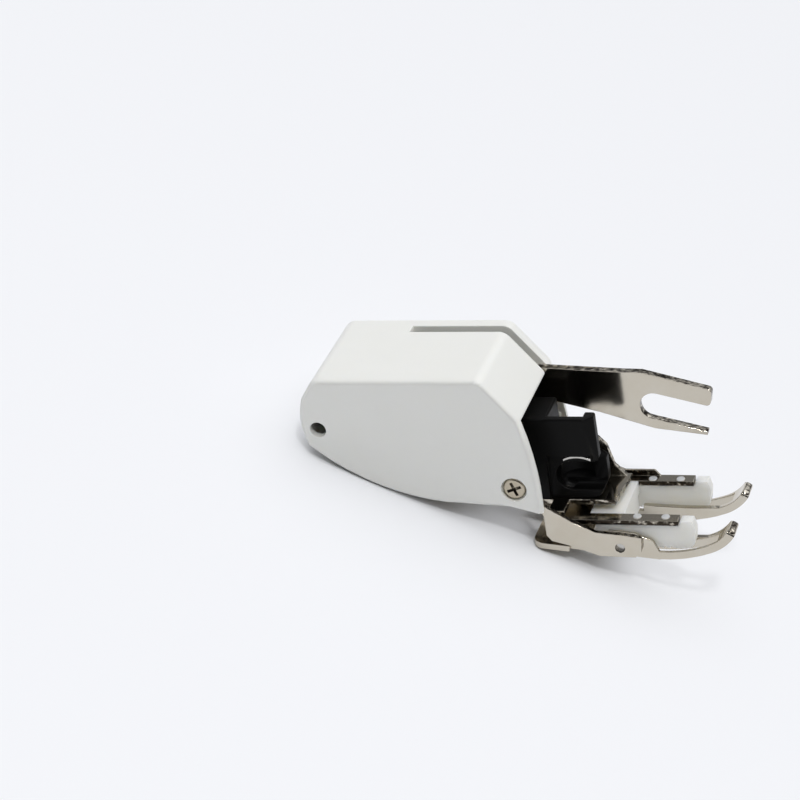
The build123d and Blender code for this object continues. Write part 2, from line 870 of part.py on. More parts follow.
coil_room = (return_turns + 1) * (wire + 2 * spring_seat)
sleeve_near = -plate_inner
sleeve_far = crank_end - 2 * wire - coil_room
with BuildPart() as pivot_sleeve:
    with BuildSketch(side(sleeve_far)):
        with Locations(lever_pivot):
            Circle(pivot_radius + sleeve_wall)
            Circle(pivot_radius, mode=Mode.SUBTRACT)
    extrude(amount=sleeve_far - sleeve_near)
pivot_sleeve.part.label = "pivot_sleeve"

# Lever return spring: coils round the pivot pin and a leg that hangs down beside the yoke
coil_near = sleeve_far + wire
coil_height = return_turns * (wire + 2 * spring_seat)
coil_start = Location((lever_pivot[0], coil_near, lever_pivot[1] - shank_height), (-90, 0, 0))
with BuildPart() as return_coil:
    with BuildLine():
        Polyline(*coil_path(return_coil_radius, coil_height, return_turns))
    with BuildSketch(spring_profile(return_coil_radius)):
        Rectangle(wire, wire)
    sweep(transition=Transition.RIGHT)
with BuildPart() as lever_spring:
    with Locations(coil_start):
        add(return_coil.part)
    with BuildSketch(level(lever_pivot[1])):
        with Locations((lever_pivot[0] + return_coil_radius, coil_near + coil_height)):
            Rectangle(wire, wire)
    extrude(amount=-return_leg)
lever_spring.part.label = "lever_spring"

# Lift springs on the guide posts, over the block
lift_coil_height = tab_under - block_top - wire - 2 * spring_seat
with BuildPart() as lift_coil:
    with BuildLine():
        Polyline(*coil_path(lift_coil_radius, lift_coil_height, lift_turns))
    with BuildSketch(spring_profile(lift_coil_radius)):
        Rectangle(wire, wire)
    sweep(transition=Transition.RIGHT)
with BuildPart() as lift_springs:
    for post_side in post_sides:
        with Locations((post_forward, post_side, block_top - shank_height + wire / 2 + spring_seat)):
            add(lift_coil.part)
lift_springs.part.label = "lift_springs"

# Carriage spring on the tongue, between the lift block and the riser
feed_coil_length = feed_gap - wire - 2 * spring_seat
with BuildPart() as feed_coil:
    with BuildLine():
        Polyline(*coil_path(feed_coil_radius, feed_coil_length, feed_turns))
    with BuildSketch(spring_profile(feed_coil_radius)):
        Rectangle(wire, wire)
    sweep(transition=Transition.RIGHT)
feed_coil_start = (
    block_front + wire / 2 + spring_seat,
    slide_offset,
    tongue_height + tongue_thickness / 2 - shank_height,
)
with BuildPart() as carriage_spring:
    with Locations(Location(feed_coil_start, (0, 90, 0))):
        add(feed_coil.part)
carriage_spring.part.label = "carriage_spring"

# Housing screws with a cross recess, one on each side
with BuildPart() as housing_screws:
    for turn in (1, -1):
        head_face = housing_width / 2 - screw_recess + screw_head_thickness
        with BuildSketch(side(turn * head_face)):
            with Locations(screw_place):
                Circle(screw_head_radius)
        extrude(amount=turn * screw_head_thickness)
        with BuildSketch(side(turn * head_face)):
            with Locations(screw_place):
                Circle(screw_radius)
        extrude(amount=turn * (head_face - plate_inner + screw_reach))
        with BuildSketch(side(turn * head_face)):
            with Locations(screw_place):
                Rectangle(cross_length, cross_slot, rotation=cross_turn)
                Rectangle(cross_slot, cross_length, rotation=cross_turn)
        extrude(amount=turn * cross_depth, mode=Mode.SUBTRACT)
housing_screws.part.label = "housing_screws"

os.makedirs("parts", exist_ok=True)
export_step(housing.part, "parts/housing.step")
export_step(frame.part, "parts/frame.step")
export_step(guide_posts.part, "parts/guide_posts.step")
export_step(sole_pins.part, "parts/sole_pins.step")
export_step(shank_bracket.part, "parts/shank_bracket.step")
export_step(shank_block.part, "parts/shank_block.step")
export_step(notch_liner.part, "parts/notch_liner.step")
export_step(shank_rivets.part, "parts/shank_rivets.step")
export_step(sole.part, "parts/sole.step")
export_step(feed_carrier.part, "parts/feed_carrier.step")
export_step(stop_pin.part, "parts/stop_pin.step")
export_step(feed_feet.part, "parts/feed_feet.step")
export_step(lift_block.part, "parts/lift_block.step")
export_step(fork_lever.part, "parts/fork_lever.step")
export_step(lever_bush.part, "parts/lever_bush.step")
export_step(crank_pin.part, "parts/crank_pin.step")
export_step(crank_roller.part, "parts/crank_roller.step")
export_step(pivot_pin.part, "parts/pivot_pin.step")
export_step(pivot_clip.part, "parts/pivot_clip.step")
export_step(pivot_sleeve.part, "parts/pivot_sleeve.step")
export_step(lever_spring.part, "parts/lever_spring.step")
export_step(lift_springs.part, "parts/lift_springs.step")
export_step(carriage_spring.part, "parts/carriage_spring.step")
export_step(housing_screws.part, "parts/housing_screws.step")
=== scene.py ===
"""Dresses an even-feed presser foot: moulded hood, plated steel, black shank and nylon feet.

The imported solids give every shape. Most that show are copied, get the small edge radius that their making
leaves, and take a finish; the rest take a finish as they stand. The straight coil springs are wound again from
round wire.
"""

import json
import logging
import math
from dataclasses import dataclass, field
from enum import Enum
from typing import Callable, ClassVar, Mapping

import bmesh
import bpy
from mathutils import Matrix, Vector


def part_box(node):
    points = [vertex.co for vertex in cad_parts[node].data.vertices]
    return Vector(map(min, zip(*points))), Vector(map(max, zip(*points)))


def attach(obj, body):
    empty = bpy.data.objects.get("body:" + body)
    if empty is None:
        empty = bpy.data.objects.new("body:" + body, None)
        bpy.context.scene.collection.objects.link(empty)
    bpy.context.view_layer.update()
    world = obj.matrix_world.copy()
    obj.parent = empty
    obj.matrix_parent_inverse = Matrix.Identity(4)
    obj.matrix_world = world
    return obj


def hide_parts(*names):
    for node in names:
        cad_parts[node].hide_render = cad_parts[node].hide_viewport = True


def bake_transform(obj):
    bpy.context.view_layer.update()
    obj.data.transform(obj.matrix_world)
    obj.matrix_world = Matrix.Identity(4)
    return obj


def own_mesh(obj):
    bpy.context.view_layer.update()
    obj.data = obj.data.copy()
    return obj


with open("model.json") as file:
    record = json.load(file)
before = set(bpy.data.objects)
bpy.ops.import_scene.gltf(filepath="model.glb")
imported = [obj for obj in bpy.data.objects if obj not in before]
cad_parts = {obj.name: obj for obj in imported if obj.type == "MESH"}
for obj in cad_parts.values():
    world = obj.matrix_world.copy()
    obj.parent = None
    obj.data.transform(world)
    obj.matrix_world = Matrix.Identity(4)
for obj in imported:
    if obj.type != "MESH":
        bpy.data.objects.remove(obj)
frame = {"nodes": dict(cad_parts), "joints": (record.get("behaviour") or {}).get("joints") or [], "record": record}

MM = 0.001
IMAGE_SIDE = 800
SENSOR_MM = 36.0
# A face's share of the dark torn-edge mark: press tear on cut edges, painted shade in the screws' cross.
TORN_AND_SHADE = "sheared"
# A face looks along an axis when its normal has more than this share of it.
FACING = 0.5
# Most values of a noise texture lie in this span.
NOISE_SPAN = (0.3, 0.7)
# The places of a colour mix's share, its two colours and its result among the node's sockets.
MIX_SHARE, MIX_FIRST, MIX_SECOND, MIX_RESULT = 0, 6, 7, 2
# Away from the camera, across the foot.
AWAY = Vector((0, 1, 0))

log = logging.getLogger("presser_foot")


class EdgeForm(Enum):
    """How a piece was made, which sets the radius of its edges in millimetres."""

    DOMED = 0.55
    BEADED = 0.45
    CROWN = 0.4
    MOULDED = 0.14
    PRESSED = 0.09
    TURNED = 0.05


class CoilAxis(Enum):
    """The row axis that a coil spring is wound about."""

    X = 0
    Z = 2


def linear(colour: str) -> tuple[float, float, float, float]:
    """Turn an sRGB hex colour into linear values.

    Args:
        colour: Six hex digits after a hash sign.

    Returns:
        Red, green, blue and an alpha of one.
    """
    parts = [int(colour[place:place + 2], 16) / 255 for place in (1, 3, 5)]
    # The sRGB curve is a straight line near black and a power above it.
    toned = [
        part / 12.92 if part <= 0.04045 else ((part + 0.055) / 1.055) ** 2.4 for part in parts
    ]
    return (*toned, 1.0)


def per_size(size_mm: float) -> float:
    """Give the texture scale at which one cell of a pattern has a size in millimetres."""
    return 1 / (size_mm * MM)


def add_node(
    tree: bpy.types.NodeTree,
    kind: str,
    settings: Mapping[str, object],
    sockets: Mapping[object, object],
) -> bpy.types.Node:
    """Add one shader node.

    Args:
        tree: The material's or the world's node tree.
        kind: The node's Blender type.
        settings: Properties to set on the node.
        sockets: Input names or places, each with a value or with the output that feeds it.

    Returns:
        The new node.
    """
    made = tree.nodes.new(kind)
    for name, value in settings.items():
        setattr(made, name, value)
    for name, value in sockets.items():
        if isinstance(value, bpy.types.NodeSocket):
            tree.links.new(value, made.inputs[name])
        else:
            made.inputs[name].default_value = value
    return made


def new_material(name: str) -> tuple[bpy.types.Material, bpy.types.NodeTree, bpy.types.Node]:
    """Make a material that holds a shader and its output.

    Args:
        name: The finish's name.

    Returns:
        The material, its node tree and its Principled shader.
    """
    material = bpy.data.materials.new(name)
    material.use_nodes = True
    tree = material.node_tree
    tree.nodes.clear()
    shader = add_node(tree, "ShaderNodeBsdfPrincipled", {}, {})
    add_node(tree, "ShaderNodeOutputMaterial", {}, {"Surface": shader.outputs["BSDF"]})
    return material, tree, shader


@dataclass(frozen=True)
class Finish:
    """A surface finish; each kind adds its own pattern to the shader."""

    mottle_detail: ClassVar[float] = 4.0
    mottle_fineness: ClassVar[float] = 0.55
    relief_detail: ClassVar[float] = 2.0

    name: str
    colour: str
    second_colour: str
    roughness: tuple[float, float]

    def material(self) -> bpy.types.Material:
        """Build the finish's material.

        Returns:
            The material.
        """
        material, tree, shader = new_material(self.name)
        coords = add_node(tree, "ShaderNodeTexCoord", {}, {}).outputs["Object"]
        self.pattern(tree, shader, coords)
        return material

    def mottle(
        self,
        tree: bpy.types.NodeTree,
        shader: bpy.types.Node,
        coords: bpy.types.NodeSocket,
        cell_mm: float,
    ) -> None:
        """Vary colour and roughness over the surface between the finish's two values.

        Args:
            tree: The material's node tree.
            shader: The Principled shader.
            coords: Object coordinates.
            cell_mm: The size of a patch of one tone.
        """
        noise = add_node(
            tree,
            "ShaderNodeTexNoise",
            {},
            {
                "Vector": coords,
                "Scale": per_size(cell_mm),
                "Detail": self.mottle_detail,
                "Roughness": self.mottle_fineness,
            },
        )
        tones = add_node(
            tree,
            "ShaderNodeMix",
            {"data_type": "RGBA"},
            {
                MIX_SHARE: noise.outputs["Fac"],
                MIX_FIRST: linear(self.colour),
                MIX_SECOND: linear(self.second_colour),
            },
        )
        gloss = add_node(
            tree,
            "ShaderNodeMapRange",
            {},
            {
                "Value": noise.outputs["Fac"],
                "From Min": NOISE_SPAN[0],
                "From Max": NOISE_SPAN[1],
                "To Min": self.roughness[0],
                "To Max": self.roughness[1],
            },
        )
        tree.links.new(tones.outputs[MIX_RESULT], shader.inputs["Base Color"])
        tree.links.new(gloss.outputs["Result"], shader.inputs["Roughness"])

    def relief(
        self,
        tree: bpy.types.NodeTree,
        shader: bpy.types.Node,
        coords: bpy.types.NodeSocket,
        cell_mm: float,
        depth_mm: float,
    ) -> bpy.types.Node:
        """Give the surface a fine relief.

        Args:
            tree: The material's node tree.
            shader: The Principled shader.
            coords: Object coordinates.
            cell_mm: The size of one bump.
            depth_mm: The bump's height.

        Returns:
            The bump node.
        """
        grain = add_node(
            tree,
            "ShaderNodeTexNoise",
            {},
            {"Vector": coords, "Scale": per_size(cell_mm), "Detail": self.relief_detail},
        )
        bump = add_node(
            tree,
            "ShaderNodeBump",
            {},
            {"Height": grain.outputs["Fac"], "Distance": depth_mm * MM, "Strength": 1.0},
        )
        tree.links.new(bump.outputs["Normal"], shader.inputs["Normal"])
        return bump

    def pattern(
        self,
        tree: bpy.types.NodeTree,
        shader: bpy.types.Node,
        coords: bpy.types.NodeSocket,
    ) -> None:
        """Lay the finish's pattern on the shader; each kind has its own.

        Args:
            tree: The material's node tree.
            shader: The Principled shader.
            coords: Object coordinates.
        """
        raise NotImplementedError


@dataclass(frozen=True)
class Resin(Finish):
    """A moulded resin: the fine skin that its mould left, over a body that light may enter."""

    patch_mm: float = 9.0
    # The skin of a real mould is too fine to show, so it is drawn as coarse as it needs to be.
    skin_mm: float = 0.22
    skin_depth_mm: float = 0.0035
    ior: float = 1.53
    shine: float = 0.5
    depth_share: float = 0.0
    depth_mm: float = 1.0
    depth_tint: tuple[float, float, float] = (1.0, 1.0, 1.0)

    def pattern(
        self,
        tree: bpy.types.NodeTree,
        shader: bpy.types.Node,
        coords: bpy.types.NodeSocket,
    ) -> None:
        """Lay a faint cloudiness, the mould's skin and the resin's depth on the shader.

        Args:
            tree: The material's node tree.
            shader: The Principled shader.
            coords: Object coordinates.
        """
        self.mottle(tree, shader, coords, self.patch_mm)
        self.relief(tree, shader, coords, self.skin_mm, self.skin_depth_mm)
        shader.inputs["IOR"].default_value = self.ior
        shader.inputs["Specular IOR Level"].default_value = self.shine
        shader.inputs["Subsurface Weight"].default_value = self.depth_share
        shader.inputs["Subsurface Radius"].default_value = self.depth_tint
        shader.inputs["Subsurface Scale"].default_value = self.depth_mm * MM


@dataclass(frozen=True)
class MouldedAbs(Resin):
    """Injection-moulded ABS: a warm white with a soft, even sheen and a faint moulded skin."""

    depth_share: float = 0.08
    depth_mm: float = 0.8
    depth_tint: tuple[float, float, float] = (1.0, 0.9, 0.7)


@dataclass(frozen=True)
class BlackAcetal(Resin):
    """Moulded black acetal: a deep black with a waxy sheen that greys where light grazes it."""

    patch_mm: float = 3.0
    skin_mm: float = 0.18
    skin_depth_mm: float = 0.006
    ior: float = 1.48
    shine: float = 0.11


@dataclass(frozen=True)
class MilkyNylon(Resin):
    """Natural nylon: milky white, and light that enters it spreads before it leaves."""

    patch_mm: float = 4.0
    skin_mm: float = 0.3
    skin_depth_mm: float = 0.004
    depth_share: float = 0.9
    depth_mm: float = 3.0
    depth_tint: tuple[float, float, float] = (1.0, 0.95, 0.85)


@dataclass(frozen=True)
class NickelPlate(Finish):
    """Bright nickel on pressed steel: a warm, wavy mirror, rough where the press sheared it, with the same dark
    mark as painted shade in the screws' cross.
    """

    patch_mm: float = 6.0
    wave_mm: float = 1.6
    wave_depth_mm: float = 0.006
    # Real tears are finer than this, and are drawn as coarse as they need to show.
    tear_mm: float = 0.8
    tear_detail: float = 3.0
    tear_depth_mm: float = 0.2
    tear_soft: float = 0.09
    # The dark of torn edges, also the colour of painted shade in the screws' cross.
    tear_colour: str = "#352F28"

    def pattern(
        self,
        tree: bpy.types.NodeTree,
        shader: bpy.types.Node,
        coords: bpy.types.NodeSocket,
    ) -> None:
        """Lay warm tints, a slight waviness and torn, sparkling edges on the shader; the dark of the torn mark
        also paints shade where faces are marked for it.

        Args:
            tree: The material's node tree.
            shader: The Principled shader.
            coords: Object coordinates.
        """
        self.mottle(tree, shader, coords, self.patch_mm)
        shader.inputs["Metallic"].default_value = 1.0
        bump = self.relief(tree, shader, coords, self.wave_mm, self.wave_depth_mm)
        # The marked share holds the press tear and the painted shade alike.
        edge = add_node(tree, "ShaderNodeAttribute", {"attribute_name": TORN_AND_SHADE}, {})
        tear = add_node(
            tree,
            "ShaderNodeTexNoise",
            {},
            {"Vector": coords, "Scale": per_size(self.tear_mm), "Detail": self.tear_detail},
        )
        spared = add_node(
            tree,
            "ShaderNodeMath",
            {"operation": "SUBTRACT"},
            {0: tear.outputs["Fac"], 1: edge.outputs["Fac"]},
        )
        dull = add_node(
            tree,
            "ShaderNodeMapRange",
            {},
            {
                "Value": spared.outputs["Value"],
                "From Min": -self.tear_soft,
                "From Max": self.tear_soft,
                "To Min": 1.0,
                "To Max": 0.0,
            },
        )
        tones = add_node(
            tree,
            "ShaderNodeMix",
            {"data_type": "RGBA"},
            {
                MIX_SHARE: dull.outputs["Result"],
                MIX_FIRST: shader.inputs["Base Color"].links[0].from_socket,
                MIX_SECOND: linear(self.tear_colour),
            },
        )
        tree.links.new(tones.outputs[MIX_RESULT], shader.inputs["Base Color"])
        height = add_node(
            tree,
            "ShaderNodeMath",
            {"operation": "MULTIPLY"},
            {0: tear.outputs["Fac"], 1: edge.outputs["Fac"]},
        )
        torn = add_node(
            tree,
            "ShaderNodeBump",
            {},
            {
                "Height": height.outputs["Value"],
                "Distance": self.tear_depth_mm * MM,
                "Normal": bump.outputs["Normal"],
            },
        )
        tree.links.new(torn.outputs["Normal"], shader.inputs["Normal"])


@dataclass(frozen=True)
class TurnedSteel(Finish):
    """Turned or drawn steel: a grey metal whose fine tool marks blur its reflections."""

    patch_mm: float = 2.0
    # Real tool marks are finer than this, and are drawn as coarse as they need to show.
    mark_mm: float = 0.25
    mark_depth_mm: float = 0.004

    def pattern(
        self,
        tree: bpy.types.NodeTree,
        shader: bpy.types.Node,
        coords: bpy.types.NodeSocket,
    ) -> None:
        """Lay fine tool marks on a metal shader.

        Args:
            tree: The material's node tree.
            shader: The Principled shader.
            coords: Object coordinates.
        """
        self.mottle(tree, shader, coords, self.patch_mm)
        self.relief(tree, shader, coords, self.mark_mm, self.mark_depth_mm)
        shader.inputs["Metallic"].default_value = 1.0


@dataclass
class Finishes:
    """The finishes of the foot, one for each of the record's slots."""

    housing_white: Finish = MouldedAbs("moulded_abs", "#F5F5F0", "#F1F1EB", (0.34, 0.42))
    nickel_plate: Finish = NickelPlate("nickel_plate", "#CCC7BC", "#BFB6A5", (0.09, 0.17))
    bright_steel: Finish = TurnedSteel("turned_steel", "#C9C7C3", "#B8B5B0", (0.18, 0.28))
    spring_steel: Finish = TurnedSteel("drawn_wire", "#A5A3A0", "#8F8D8A", (0.22, 0.32))
    shank_black: Finish = BlackAcetal("black_acetal", "#070707", "#0B0B0B", (0.36, 0.48))
    feet_nylon: Finish = MilkyNylon("milky_nylon", "#F1F0EA", "#E9E8E1", (0.38, 0.48))
    screw_nickel: Finish = NickelPlate("screw_nickel", "#BDB5A6", "#AAA08B", (0.14, 0.24))
    made: dict[str, bpy.types.Material] = field(default_factory=dict)

    def of_slot(self, slot: str) -> bpy.types.Material:
        """Give a slot's material, made once.

        Args:
            slot: The record's material slot.

        Returns:
            The material.
        """
        if slot not in self.made:
            self.made[slot] = getattr(self, slot).material()
        return self.made[slot]


@dataclass
class Bench:
    """What every sub-assembly needs: the finishes, and where each node belongs."""

    finishes: Finishes = field(default_factory=Finishes)
    weld_mm: float = 0.0005
    flat_degrees: float = 2.5
    sharp_degrees: float = 32.0
    edge_steps: int = 3
    sheet_mm: float = 1.3

    def body_of(self, node: str) -> str:
        """Name the body that carries a node."""
        bodies = frame["record"]["behaviour"]["bodies"]
        return next(body for body, members in bodies.items() if node in members)

    def slot_of(self, node: str) -> str:
        """Name a node's material slot."""
        subparts = frame["record"]["subparts"]
        return next(part["material_slot"] for part in subparts if part["node"] == node)

    def merged(self, node: str) -> bmesh.types.BMesh:
        """Copy a node's mesh, with its facets joined and its flat faces whole.

        Args:
            node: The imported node's name.

        Returns:
            The copy.
        """
        shape = bmesh.new()
        shape.from_mesh(frame["nodes"][node].data)
        bmesh.ops.remove_doubles(shape, verts=shape.verts, dist=self.weld_mm * MM)
        bmesh.ops.dissolve_limit(
            shape,
            angle_limit=math.radians(self.flat_degrees),
            verts=shape.verts,
            edges=shape.edges,
        )
        return shape

    def sharp(self, shape: bmesh.types.BMesh) -> list[bmesh.types.BMEdge]:
        """Find the edges at which a shape turns a corner.

        Args:
            shape: The shape.

        Returns:
            The edges.
        """
        limit = math.radians(self.sharp_degrees)
        shared = [bend for bend in shape.edges if bend.is_manifold]
        return [bend for bend in shared if bend.calc_face_angle() > limit]

    def rounded(
        self,
        shape: bmesh.types.BMesh,
        bends: list[bmesh.types.BMEdge],
        edge: EdgeForm,
    ) -> None:
        """Round some edges of a shape, which stays in the box that it had.

        Args:
            shape: The shape.
            bends: The edges to round.
            edge: How the edges were made.
        """
        spans = [(min(line), max(line)) for line in zip(*(vert.co for vert in shape.verts))]
        bmesh.ops.bevel(
            shape,
            geom=bends,
            offset=edge.value * MM,
            affect="EDGES",
            segments=self.edge_steps,
            profile=0.5,
            material=-1,
            clamp_overlap=False,
        )
        for vert in shape.verts:
            vert.co = [min(max(place, low), high) for place, (low, high) in zip(vert.co, spans)]

    def softened(
        self,
        node: str,
        edge: EdgeForm,
        torn: Callable[[bmesh.types.BMFace], float] | None = None,
    ) -> bpy.types.Object:
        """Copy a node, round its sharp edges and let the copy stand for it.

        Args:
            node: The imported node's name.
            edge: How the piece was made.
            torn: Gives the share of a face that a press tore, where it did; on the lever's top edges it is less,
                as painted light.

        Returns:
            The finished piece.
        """
        shape = self.merged(node)
        self.rounded(shape, self.sharp(shape), edge)
        if torn is not None:
            self.tear(shape, torn)
        return self.finished(shape, node)

    def cut_edge(self, face: bmesh.types.BMFace) -> bool:
        """Tell the narrow faces of a pressed piece, which are the cut edges of its sheet."""
        longest = max(bend.calc_length() for bend in face.edges)
        return face.calc_area() < longest * self.sheet_mm * MM

    def tear(self, shape: bmesh.types.BMesh, torn: Callable[[bmesh.types.BMFace], float]) -> None:
        """Mark each face's share of the dark torn-edge mark, which is also painted shade on the screws' cross.

        Args:
            shape: The shape.
            torn: Gives each face's share of the dark mark: press tear on cut edges, painted shade in the screws'
                cross.
        """
        layer = shape.faces.layers.float.new(TORN_AND_SHADE)
        for face in shape.faces:
            face[layer] = torn(face)

    def finished(self, shape: bmesh.types.BMesh, node: str) -> bpy.types.Object:
        """Turn a bmesh into the piece that stands for a node and rides on the node's body.

        Args:
            shape: The shape, in the row frame; it is freed here.
            node: The node that the piece replaces.

        Returns:
            The piece.
        """
        piece = self.dressed(shape, node)
        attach(piece, self.body_of(node))
        return piece

    def dressed(self, shape: bmesh.types.BMesh, node: str) -> bpy.types.Object:
        """Turn a bmesh into the piece that stands for a node.

        Args:
            shape: The shape, in the row frame; it is freed here.
            node: The node that the piece replaces.

        Returns:
            The piece, which rides on nothing yet.
        """
        mesh = bpy.data.meshes.new(f"{node}_dressed")
        shape.to_mesh(mesh)
        shape.free()
        for face in mesh.polygons:
            face.use_smooth = True
        piece = bpy.data.objects.new(f"{node}_dressed", mesh)
        bpy.context.scene.collection.objects.link(piece)
        weighted = piece.modifiers.new("flat_faces", "WEIGHTED_NORMAL")
        weighted.keep_sharp = True
        mesh.materials.append(self.finishes.of_slot(self.slot_of(node)))
        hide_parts(node)
        log.info("%s: %d faces", piece.name, len(mesh.polygons))
        return piece

    def paint(self, node: str) -> None:
        """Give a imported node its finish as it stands.

        Args:
            node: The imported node's name.
        """
        mesh = frame["nodes"][node].data
        mesh.materials.clear()
        mesh.materials.append(self.finishes.of_slot(self.slot_of(node)))
        log.info("%s: painted", node)


@dataclass
class Hood:
    """The moulded housing and its two screws."""

    bench: Bench
    cross_sink_mm: float = 0.1
    cross_reach_mm: float = 1.5
    # The screws' cross takes this share of the dark mark as painted shade of its recess.
    cross_dark: float = 0.62
    rim_lean: tuple[float, float] = (0.3, 0.95)

    def build(self) -> None:
        """Dress the housing and the screws."""
        shape = self.bench.merged("housing")
        bends = [
            bend
            for bend in self.bench.sharp(shape)
            if not any(map(self.slants, bend.link_faces))
        ]
        self.bench.rounded(shape, bends, EdgeForm.MOULDED)
        self.bench.finished(shape, "housing")

        screws = self.bench.merged("housing_screws")
        low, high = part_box("housing_screws")
        axis = Vector(((low.x + high.x) / 2, 0, (low.z + high.z) / 2))
        face_line = high.y - self.cross_sink_mm * MM
        heads = [
            bend
            for bend in self.bench.sharp(screws)
            if all(
                abs(vert.co.y) > face_line and self.off_axis(vert.co, axis)
                for vert in bend.verts
            )
        ]
        self.bench.rounded(screws, heads, EdgeForm.DOMED)
        self.bench.rounded(screws, self.bench.sharp(screws), EdgeForm.TURNED)
        # The cross faces take the dark mark as painted shade.
        self.bench.tear(screws, lambda face: self.in_cross(face, axis, face_line))
        self.bench.finished(screws, "housing_screws")

    def slants(self, face: bmesh.types.BMFace) -> bool:
        """Tell the slanting faces along the hood's side rims, which shade as one soft round."""
        least, most = self.rim_lean
        return least < abs(face.normal.y) < most

    def off_axis(self, place: Vector, axis: Vector) -> bool:
        """Tell a place that lies further from the screws' axis than their cross reaches."""
        return (place - axis).xz.length > self.cross_reach_mm * MM

    def in_cross(self, face: bmesh.types.BMFace, axis: Vector, face_line: float) -> float:
        """Give the faces that lie in a screw's cross a painted shade, the dark of their recess."""
        middle = face.calc_center_median()
        return self.cross_dark * (abs(middle.y) < face_line and not self.off_axis(middle, axis))


@dataclass
class Chassis:
    """The plated frame with its posts and pins."""

    bench: Bench
    cup_rim_mm: float = 0.25
    cup_depth_mm: float = 0.5
    end_facing: float = 0.9
    edge_tear: float = 0.48

    def build(self) -> None:
        """Dress the frame, and finish what turns or slides on it."""
        self.bench.softened(
            "frame",
            EdgeForm.PRESSED,
            lambda face: (
                self.edge_tear * self.bench.cut_edge(face) * (abs(face.normal.y) < FACING)
            ),
        )
        pins = self.bench.merged("sole_pins")
        ends = [face for face in pins.faces if abs(face.normal.y) > self.end_facing]
        bmesh.ops.inset_region(
            pins,
            faces=ends,
            thickness=self.cup_rim_mm * MM,
            depth=-self.cup_depth_mm * MM,
            use_even_offset=True,
        )
        self.bench.finished(pins, "sole_pins")
        for node in ("guide_posts", "pivot_pin", "pivot_clip", "pivot_sleeve"):
            self.bench.paint(node)


@dataclass
class Shank:
    """The black block that takes the presser bar, on its plated bracket."""

    bench: Bench
    crown_mm: float = 0.1
    socket_mm: float = 3.1
    seat_mm: float = 0.3
    edge_tear: float = 0.45

    def build(self) -> None:
        """Dress the block, its liner and the bracket."""
        shape = self.bench.merged("shank_block")
        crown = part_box("shank_block")[1].z - self.crown_mm * MM
        top = [
            bend
            for bend in self.bench.sharp(shape)
            if all(vert.co.z > crown for vert in bend.verts)
        ]
        self.bench.rounded(shape, top, EdgeForm.CROWN)
        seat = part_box("notch_liner")
        bends = [
            bend
            for bend in self.bench.sharp(shape)
            if not any(self.crowded(vert, seat) for vert in bend.verts)
        ]
        self.bench.rounded(shape, bends, EdgeForm.MOULDED)
        self.bench.finished(shape, "shank_block")
        self.bench.softened(
            "shank_bracket",
            EdgeForm.PRESSED,
            lambda face: self.edge_tear * self.bench.cut_edge(face),
        )
        self.bench.softened("notch_liner", EdgeForm.TURNED)
        self.bench.paint("shank_rivets")

    def crowded(self, vert: bmesh.types.BMVert, seat: tuple[Vector, Vector]) -> bool:
        """Tell the corners in the bar's socket and the liner's seat, too close for a round edge.

        Args:
            vert: A corner of the block.
            seat: The low and high corners of the liner's box.

        Returns:
            Whether the corner stays sharp.
        """
        room = self.seat_mm * MM
        spans = zip(seat[0], vert.co, seat[1])
        seated = all(low - room < place < high + room for low, place, high in spans)
        return seated or vert.co.xy.length < self.socket_mm * MM


@dataclass
class Lever:
    """The forked lever and the crank that drives the lift block."""

    bench: Bench
    # Up-facing edges take less of the dark mark: a painted lighter tone for light from above.
    top_tear: float = 0.48
    edge_tear: float = 0.56

    def build(self) -> None:
        """Dress the lever plate and finish its small pieces."""
        self.bench.softened("fork_lever", EdgeForm.PRESSED, self.torn)
        for node in ("lever_bush", "crank_pin", "crank_roller"):
            self.bench.paint(node)

    def torn(self, face: bmesh.types.BMFace) -> float:
        """Give the torn share of the plate's edges, least along its up-facing top edges, which are painted lighter
        where light falls from above.

        Args:
            face: A face of the plate.

        Returns:
            The share, which is nought on the plate's broad sides.
        """
        if abs(face.normal.y) > FACING:
            return 0.0
        return self.top_tear if face.normal.z > FACING else self.edge_tear


@dataclass
class FeedUnit:
    """The nylon feet on their carrier, and the block that lifts them."""

    bench: Bench
    edge_tear: float = 0.64

    def build(self) -> None:
        """Dress the carrier, the feet and the lift block."""
        self.bench.softened(
            "feed_carrier",
            EdgeForm.PRESSED,
            lambda face: (
                self.edge_tear * self.bench.cut_edge(face) * (abs(face.normal.z) < FACING)
            ),
        )
        self.bench.softened("feed_feet", EdgeForm.TURNED)
        self.bench.softened("lift_block", EdgeForm.MOULDED)
        self.bench.paint("stop_pin")


@dataclass
class Sole:
    """The hinged sole with its slotted toes."""

    bench: Bench
    tip_mm: float = 1.2
    tip_forward: float = 0.2
    tip_upward: float = 0.4
    tip_tear: float = 0.5

    def build(self) -> None:
        """Dress the sole, with a torn bead at the tip of each toe."""
        shape = self.bench.merged("sole")
        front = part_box("sole")[1].x - self.tip_mm * MM
        tips = [
            face
            for face in shape.faces
            if self.at_tip(face, front) and face.normal.x > self.tip_forward
        ]
        beads = {bend for face in tips for bend in face.edges} & set(self.bench.sharp(shape))
        self.bench.rounded(shape, list(beads), EdgeForm.BEADED)
        self.bench.rounded(shape, self.bench.sharp(shape), EdgeForm.PRESSED)
        self.bench.tear(shape, lambda face: self.tip_tear * self.at_tip(face, front))
        self.bench.finished(shape, "sole")

    def at_tip(self, face: bmesh.types.BMFace, front: float) -> bool:
        """Tell the faces at the toes' tips, ahead of a line across the sole."""
        return face.calc_center_median().x > front and face.normal.z > self.tip_upward


